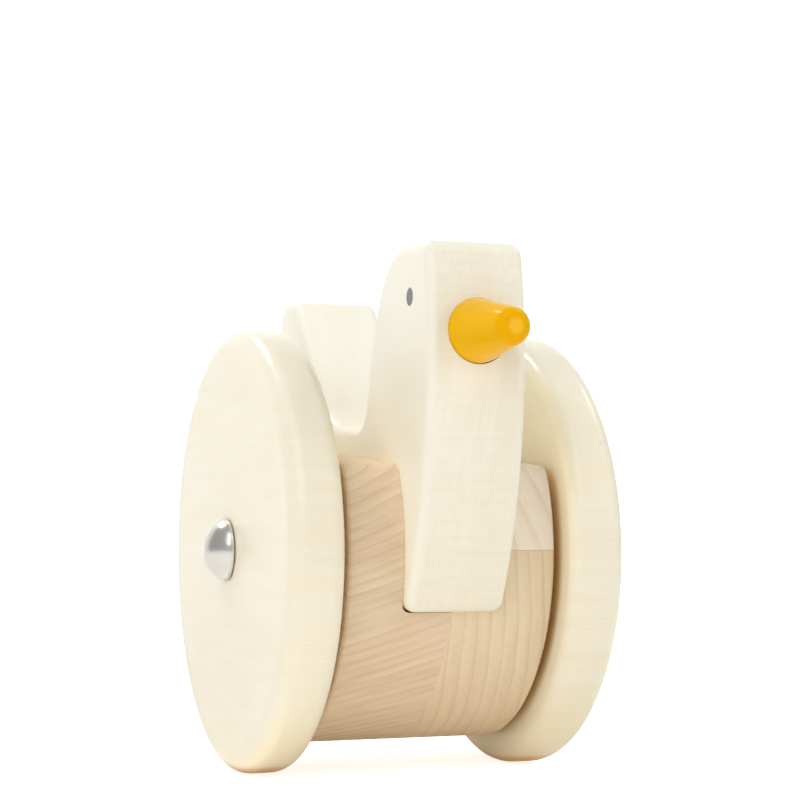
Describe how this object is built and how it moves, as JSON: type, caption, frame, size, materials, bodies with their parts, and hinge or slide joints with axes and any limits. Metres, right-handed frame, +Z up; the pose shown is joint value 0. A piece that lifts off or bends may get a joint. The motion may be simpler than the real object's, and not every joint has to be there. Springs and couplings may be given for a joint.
{
  "type": "wheeled wooden hen toy",
  "caption": "Wooden push-along hen on a flat-topped barrel body that hangs level, by a hidden weight, from an axle between large disc wheels.",
  "frame": {"origin": "on the floor, under the middle of the toy's box; the axle is 45 mm above the floor and 11.3 mm behind the origin", "axes": "+Z up, X along the axle, the hen looks along -Y"},
  "size_m": [0.0798, 0.1164, 0.1041],
  "materials": {
    "cream_lacquered_wood": "gloss",
    "bare_maple": "satin",
    "yellow_lacquered_wood": "gloss",
    "plain_steel": "satin",
    "spring_steel": "satin",
    "nickel_plate": "polished",
    "white_nylon": "satin"
  },
  "bodies": {
    "body": {"hen": "cream_lacquered_wood", "beak": "yellow_lacquered_wood", "left_block": "bare_maple", "right_upper_block": "bare_maple", "right_lower_block": "bare_maple", "counterweight": "plain_steel", "axle": "plain_steel", "left_spacer": "white_nylon", "right_spacer": "white_nylon", "left_axle_cap": "nickel_plate", "right_axle_cap": "nickel_plate", "left_cap_grip": "spring_steel", "right_cap_grip": "spring_steel"},
    "left_wheel": {"left_wheel": "cream_lacquered_wood"},
    "right_wheel": {"right_wheel": "cream_lacquered_wood"}
  },
  "joints": [
    {"name": "left_wheel_spin", "type": "hinge", "parent": "body", "child": "left_wheel", "pos_m": [-0.0286, 0.01129, 0.045], "axis": [1, 0, 0], "continuous": true},
    {"name": "right_wheel_spin", "type": "hinge", "parent": "body", "child": "right_wheel", "pos_m": [0.0286, 0.01129, 0.045], "axis": [1, 0, 0], "continuous": true}
  ]
}
